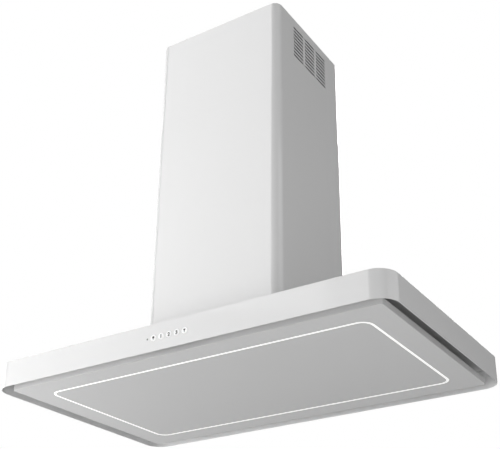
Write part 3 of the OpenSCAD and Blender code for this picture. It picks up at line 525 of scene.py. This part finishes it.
def numberMark(bm, digit, size):
    curve = bpy.data.curves.new("number" + digit, "FONT")
    curve.body = digit
    curve.size = size * buttonStyle["numberScale"]
    curve.offset = buttonStyle["markWeight"]
    curve.align_x = "CENTER"
    curve.align_y = "CENTER"
    lettering = bpy.data.objects.new("number" + digit, curve)
    scene.collection.objects.link(lettering)
    bpy.context.view_layer.update()
    flat = bpy.data.meshes.new_from_object(lettering)
    bpy.data.objects.remove(lettering)
    bm.from_mesh(flat)
    middle = sum((vert.co for vert in bm.verts), Vector()) / len(bm.verts)
    tall = [vert.co.y for vert in bm.verts]
    bmesh.ops.translate(bm, verts=bm.verts, vec=(-middle.x, -(min(tall) + max(tall)) / 2, 0.0))


def makeMark(nodeName, draw, centre):
    # a thin inlay standing just clear of the dish
    bm = bmesh.new()
    draw(bm, buttonStyle["markHeight"])
    sheet = bmesh.ops.extrude_face_region(bm, geom=list(bm.faces))["geom"]
    raised = [item for item in sheet if isinstance(item, bmesh.types.BMVert)]
    bmesh.ops.translate(bm, verts=raised, vec=(0.0, 0.0, buttonStyle["markSink"]))
    bmesh.ops.rotate(bm, verts=bm.verts, cent=(0, 0, 0), matrix=Matrix.Rotation(math.pi / 2, 3, "X"))
    bmesh.ops.translate(bm, verts=bm.verts, vec=centre + Vector((0.0, buttonStyle["markSink"], 0.0)))
    bmesh.ops.translate(bm, verts=bm.verts, vec=(0.0, buttonStyle["markDepth"], 0.0))
    bmesh.ops.recalc_face_normals(bm, faces=bm.faces)
    newPiece(nodeName + "_mark", bm, markInk, bodyOf[nodeName])


def makeButton(nodeName, draw):
    low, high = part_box(nodeName)
    centre = Vector(((low.x + high.x) / 2, low.y, (low.z + high.z) / 2))
    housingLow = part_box("switch_housing")[0].y
    capLength = housingLow + buttonStyle["collarSeat"] - low.y
    bm = bmesh.new()
    spinProfile(bm, buttonProfile(capLength, high.y - low.y), centre, buttonStyle["turnSteps"])
    smooth = buttonStyle["smoothBelow"]
    cap = newPiece(nodeName + "_cap", bm, paintedGlowCap, bodyOf[nodeName], smooth)
    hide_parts(nodeName)
    makeMark(nodeName, draw, centre)


# the caps carry painted light: a faint emission that makes them brighter than the lamps alone would
paintedGlowCap = capFinish()
markInk = plasticFinish("markInk", 0.03, 0.5, 900.0)
buttonMarks = {
    "button_light": lampMark,
    "button_speed_one": lambda bm, size: numberMark(bm, "1", size),
    "button_speed_two": lambda bm, size: numberMark(bm, "2", size),
    "button_speed_three": lambda bm, size: numberMark(bm, "3", size),
    "button_timer": timerMark,
}
for nodeName, draw in buttonMarks.items():
    makeButton(nodeName, draw)
print("hood:", len(buttonMarks), "push buttons")


filterMesh = {
    "bar": 0.014,
    "diamondLong": 0.0125,
    "diamondShort": 0.0062,
    "wire": 0.0009,
    "recess": 0.0025,
    "latchHalf": 0.032,
    "latchDepth": 0.048,
    "latchRim": 0.0025,
    "latchOverlap": 0.003,
    "smoothBelow": 180.0,
    "edgeOverlap": 0.001,
}


def latchColumn(bm):
    # the cells in line with the latch block, with their edges and corners
    half = filterMesh["latchHalf"] - filterMesh["latchOverlap"]
    faces = [face for face in bm.faces if abs(face.calc_center_median().x) < half]
    edges = {edge for face in faces for edge in face.edges}
    verts = {vert for face in faces for vert in face.verts}
    return faces + list(edges) + list(verts)


def makeLattice(nodeName):
    # expanded aluminium: diamonds cut to the frame's opening, clear of the latch block
    low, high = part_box(nodeName)
    style = filterMesh
    bar = style["bar"]
    centre = (low + high) / 2
    halfX = (high.x - low.x) / 2 - bar + style["edgeOverlap"]
    halfY = (high.y - low.y) / 2 - bar + style["edgeOverlap"]
    across = style["diamondShort"] / math.sqrt(2)
    along = style["diamondLong"] / math.sqrt(2)
    # the turned grid's corners have to reach past the opening's
    count = math.ceil((halfX / across + halfY / along) * math.sqrt(2)) + 1
    bm = bmesh.new()
    bmesh.ops.create_grid(bm, x_segments=count, y_segments=count, size=count / 2)
    bmesh.ops.rotate(bm, verts=bm.verts, cent=(0, 0, 0), matrix=Matrix.Rotation(math.pi / 4, 3, "Z"))
    bmesh.ops.scale(bm, verts=bm.verts, vec=(across, along, 1.0))
    for normal, reach in (((1, 0, 0), halfX), ((-1, 0, 0), halfX), ((0, 1, 0), halfY), ((0, -1, 0), halfY)):
        everything = bm.verts[:] + bm.edges[:] + bm.faces[:]
        edge = Vector(normal) * reach
        bmesh.ops.bisect_plane(bm, geom=everything, plane_co=edge, plane_no=normal, clear_outer=True)
    rim = style["latchDepth"] - style["latchRim"] - (high.y - low.y) / 2
    bmesh.ops.bisect_plane(bm, geom=latchColumn(bm), plane_co=(0, rim, 0), plane_no=(0, 1, 0))
    overLatch = [
        face for face in latchColumn(bm)
        if isinstance(face, bmesh.types.BMFace) and face.calc_center_median().y < rim
    ]
    bmesh.ops.delete(bm, geom=overLatch, context="FACES")
    bmesh.ops.wireframe(
        bm, faces=bm.faces[:], thickness=style["wire"], use_replace=True,
        use_boundary=True, use_even_offset=False,
    )
    meshZ = low.z + style["recess"] - style["wire"] / 2
    bmesh.ops.translate(bm, verts=bm.verts, vec=(centre.x, centre.y, meshZ))
    smooth = style["smoothBelow"]
    newPiece(nodeName + "_lattice", bm, latticeFinish, bodyOf[nodeName], smooth)


latticeFinish = drawnAluminium("latticeMesh", 0.80, "x")
for side in ("left", "centre", "right"):
    makeLattice("grease_filter_" + side)
print("hood: three filter lattices")


screwSets = {
    # node: head radius, head height, shank radius, layout, facing
    "base_screws": (0.0045, 0.0025, 0.0025, "base", (0.0, 0.0, 1.0)),
    "cover_screws": (0.0036, 0.002, 0.002, "cover", (0.0, 1.0, 0.0)),
}
baseSpread = {
    # from the middle, along the frame's side and its front
    "alongSide": 0.080,
    "alongFront": 0.090,
}
screwHead = {
    # levels from the seat to the socket's floor, as shares of the head's radius and height
    "wall": (1.0, 0.5),
    "shoulder": (0.93, 0.8),
    "face": (0.78, 1.0),
    "socketMouth": (0.48, 1.0),
    "socketFloor": (0.46, 0.35),
    # sides of the head and of the socket
    "roundSteps": 24,
    "socketSteps": 6,
}


def ringEdges(bm, segments, radius, height):
    made = bmesh.ops.create_circle(bm, segments=segments, radius=radius)["verts"]
    bmesh.ops.translate(bm, verts=made, vec=(0.0, 0.0, height))
    return list({edge for vert in made for edge in vert.link_edges})


def makeScrew(bm, radius, height, shank, length, place, facing):
    # pan head with a hexagonal socket, shank behind it
    part = bmesh.new()
    around = screwHead["roundSteps"]
    rings = [ringEdges(part, around, r, z) for r, z in ((shank, -length), (shank, 0.0), (radius, 0.0))]
    for level in ("wall", "shoulder", "face"):
        wide, tall = screwHead[level]
        rings.append(ringEdges(part, around, radius * wide, height * tall))
    for level in ("socketMouth", "socketFloor"):
        wide, tall = screwHead[level]
        rings.append(ringEdges(part, screwHead["socketSteps"], radius * wide, height * tall))
    for first, second in zip(rings, rings[1:]):
        bmesh.ops.bridge_loops(part, edges=first + second)
    bmesh.ops.edgeloop_fill(part, edges=rings[0])
    bmesh.ops.edgeloop_fill(part, edges=rings[-1])
    bmesh.ops.recalc_face_normals(part, faces=part.faces)
    aim = Vector(facing).to_track_quat("Z", "X").to_matrix()
    bmesh.ops.rotate(part, verts=part.verts, cent=(0, 0, 0), matrix=aim)
    bmesh.ops.translate(part, verts=part.verts, vec=place)
    single = bpy.data.meshes.new("screwPart")
    part.to_mesh(single)
    part.free()
    bm.from_mesh(single)
    bpy.data.meshes.remove(single)


def screwPlaces(layout, low, high, radius, height):
    if layout == "base":
        farX, farY = high.x - radius, high.y - radius
        quarter = [(farX, baseSpread["alongSide"]), (baseSpread["alongFront"], farY)]
        seatZ = high.z - height
        return [(sx * x, sy * y, seatZ) for x, y in quarter for sx in (-1, 1) for sy in (-1, 1)]
    return [(sx * (high.x - radius), high.y - height, (low.z + high.z) / 2) for sx in (-1, 1)]


def makeScrews(nodeName, radius, height, shank, layout, facing):
    low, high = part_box(nodeName)
    length = (high - low).dot(Vector(facing)) - height
    bm = bmesh.new()
    for place in screwPlaces(layout, low, high, radius, height):
        makeScrew(bm, radius, height, shank, length, place, facing)
    piece = newPiece(nodeName + "_sockets", bm, platedSteel, bodyOf[nodeName])
    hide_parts(nodeName)


for nodeName, settings in screwSets.items():
    makeScrews(nodeName, *settings)
print("hood: socket screws")


studio = {
    "floorZ": -2.75,
    "floorHalf": 9.0,
    "floorGlow": 0.5,
    "floorTones": (0.78, 0.82),
    "glowTones": (0.9, 1.0),
    "ambient": 0.15,
    "backdrop": 1.0,
}
softboxes = {
    # name: (place, aim, width, height, watts)
    "frontPanel": ((-2.27, -3.0, 1.55), (-2.27, 0.0, 1.55), 3.45, 3.3, 70.0),
    "rightPanel": ((3.0, 1.25, 0.7), (0.0, 1.25, 0.7), 4.7, 1.6, 20.0),
    "leftPanel": ((-3.2, 1.2, 1.2), (0.0, 1.2, 1.2), 4.0, 3.0, 38.0),
    "nearSoftbox": ((-1.0, -1.6, -1.5), (-0.4, -0.3, -0.93), 0.8, 0.8, 11.7),
    "cornerSoftbox": ((-1.3, -0.5, -1.3), (-0.45, -0.28, -0.93), 0.6, 0.6, 5.4),
    "highSoftbox": ((-1.6, -2.2, 1.2), (0.0, 0.0, -0.6), 1.8, 1.8, 9.6),
    "frontRightSoftbox": ((2.1, -2.1, -0.6), (0.0, 0.0, -0.6), 2.0, 2.0, 7.8),
    "highRightSoftbox": ((2.5, -0.5, 1.3), (0.0, 0.0, -0.6), 1.8, 1.8, 6.9),
    "lowLeftSoftbox": ((-2.2, 0.0, -2.3), (0.0, 0.0, -0.93), 1.6, 1.6, 26.3),
    "lowRightSoftbox": ((2.2, 0.0, -2.3), (0.0, 0.0, -0.93), 1.6, 1.6, 7.5),
    "lowFrontSoftbox": ((1.5, -2.0, -2.3), (0.0, 0.0, -0.93), 1.6, 1.6, 12.9),
    "backSoftbox": ((-0.5, 3.2, 1.5), (-0.1, 0.0, -0.4), 1.2, 2.2, 70.0),
}


def makeFloor():
    mesh = bpy.data.meshes.new("studioFloor")
    bm = bmesh.new()
    bmesh.ops.create_grid(bm, x_segments=1, y_segments=1, size=studio["floorHalf"])
    bmesh.ops.translate(bm, verts=bm.verts, vec=(0.0, 0.0, studio["floorZ"]))
    bm.to_mesh(mesh)
    bm.free()
    floor = bpy.data.objects.new("studioFloor", mesh)
    scene.collection.objects.link(floor)
    paper = Finish("floorPaper", Roughness=0.7, Specular_IOR_Level=0.2)
    mottle = paper.noise(2.5, 4.0)
    paper.colour(paper.blend(mottle, *map(tone, studio["floorTones"])))
    # glows for camera rays alone, so the object gets none of its light
    seen = paper.add("ShaderNodeLightPath", output="Is Camera Ray")
    glow = paper.blend(mottle, *map(tone, studio["glowTones"]))
    paper.feed(paper.shader.inputs["Emission Color"], glow)
    paper.feed(paper.shader.inputs["Emission Strength"], seen * studio["floorGlow"])
    mesh.materials.append(paper.material)
    return floor


def makeWorld():
    world = bpy.data.worlds.new("studioWorld")
    world.use_nodes = True
    scene.world = world
    tree = world.node_tree
    seen = tree.nodes.new("ShaderNodeLightPath")
    light = tree.nodes["Background"]
    light.inputs["Color"].default_value = (1.0, 1.0, 1.0, 1.0)
    light.inputs["Strength"].default_value = studio["ambient"]
    backdrop = tree.nodes.new("ShaderNodeBackground")
    backdrop.inputs["Color"].default_value = (1.0, 1.0, 1.0, 1.0)
    backdrop.inputs["Strength"].default_value = studio["backdrop"]
    choose = tree.nodes.new("ShaderNodeMixShader")
    tree.links.new(seen.outputs["Is Camera Ray"], choose.inputs[0])
    tree.links.new(light.outputs[0], choose.inputs[1])
    tree.links.new(backdrop.outputs[0], choose.inputs[2])
    tree.links.new(choose.outputs[0], tree.nodes["World Output"].inputs["Surface"])


def makeSoftbox(name, place, aim, width, height, watts):
    data = bpy.data.lights.new(name, "AREA")
    data.shape = "RECTANGLE"
    data.size = width
    data.size_y = height
    data.energy = watts
    softbox = bpy.data.objects.new(name, data)
    softbox.location = place
    aimed = (Vector(aim) - Vector(place)).to_track_quat("-Z", "Y")
    softbox.rotation_euler = aimed.to_euler()
    softbox.visible_camera = False
    scene.collection.objects.link(softbox)
    return softbox


def keepOff(softbox, obj):
    # the light passes by this object, so nothing of it comes back from there
    flagged = bpy.data.collections.new(softbox.name + "Flag")
    flagged.objects.link(obj)
    flagged.collection_objects[0].light_linking.link_state = "EXCLUDE"
    softbox.light_linking.receiver_collection = flagged


floor = makeFloor()
makeWorld()
lights = {name: makeSoftbox(name, *settings) for name, settings in softboxes.items()}
keepOff(lights["backSoftbox"], floor)
scene.view_settings.view_transform = "Standard"
print("hood:", len(softboxes), "softboxes")
